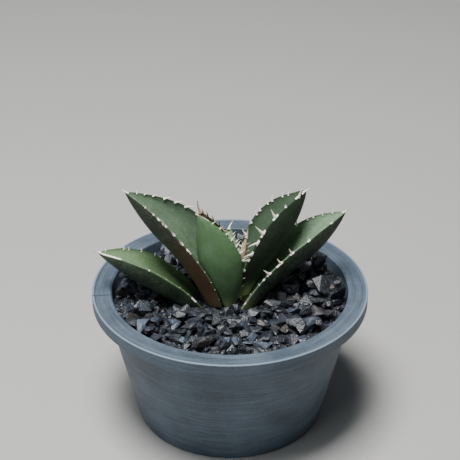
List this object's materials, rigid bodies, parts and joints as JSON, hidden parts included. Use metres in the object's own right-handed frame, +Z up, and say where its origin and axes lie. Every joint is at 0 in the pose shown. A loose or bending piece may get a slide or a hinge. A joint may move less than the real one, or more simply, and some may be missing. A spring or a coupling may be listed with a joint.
{
  "type": "potted agave",
  "caption": "Young agave with toothed, channelled grey-green leaves in a round pot topped with crushed dark stone.",
  "frame": {"origin": "middle of the pot's foot, on the pot's axis, on the surface that the pot stands on", "axes": "+Z up along the pot's axis, +X towards the low right leaf, -Y towards the viewer"},
  "size_m": [0.105, 0.105, 0.0932],
  "materials": {
    "pot_plastic": "matt, with fine concentric lines",
    "growing_mix": "coarse and damp",
    "lava_grit": "rough grit",
    "crushed_stone": "rough, with small glints",
    "leaf_skin": "waxy, with a pale bloom",
    "young_leaf_skin": "waxy, paler towards the base",
    "stem_bark": "fibrous"
  },
  "bodies": {
    "root": {"growing_mix": "growing_mix", "leaf_back": "leaf_skin", "leaf_cone": "young_leaf_skin", "leaf_front": "leaf_skin", "leaf_inner": "young_leaf_skin", "leaf_left_high": "leaf_skin", "leaf_left_low": "leaf_skin", "leaf_right_high": "leaf_skin", "leaf_right_low": "leaf_skin", "pot": "pot_plastic", "stem_with_roots": "stem_bark", "stone_01": "crushed_stone", "stone_02": "crushed_stone", "stone_03": "crushed_stone", "stone_04": "crushed_stone", "stone_05": "crushed_stone", "stone_06": "crushed_stone", "stone_07": "crushed_stone", "stone_08": "crushed_stone", "stone_09": "crushed_stone", "stone_10": "crushed_stone", "stone_11": "crushed_stone", "stone_12": "crushed_stone", "stone_13": "crushed_stone", "stone_14": "crushed_stone", "stone_15": "crushed_stone", "stone_16": "crushed_stone", "stone_17": "crushed_stone", "stone_18": "crushed_stone", "stone_19": "crushed_stone", "stone_20": "crushed_stone", "stone_21": "crushed_stone", "stone_22": "crushed_stone", "stone_23": "crushed_stone", "stone_24": "crushed_stone", "stone_25": "crushed_stone", "stone_26": "crushed_stone", "stone_27": "crushed_stone", "stone_28": "crushed_stone", "stone_29": "crushed_stone", "stone_30": "crushed_stone", "stone_31": "crushed_stone", "stone_32": "crushed_stone", "stone_33": "crushed_stone", "stone_34": "crushed_stone", "stone_35": "crushed_stone", "stone_36": "crushed_stone", "stone_37": "crushed_stone", "stone_38": "crushed_stone", "stone_39": "crushed_stone", "stone_40": "crushed_stone", "stone_bed": "lava_grit"}
  },
  "joints": []
}
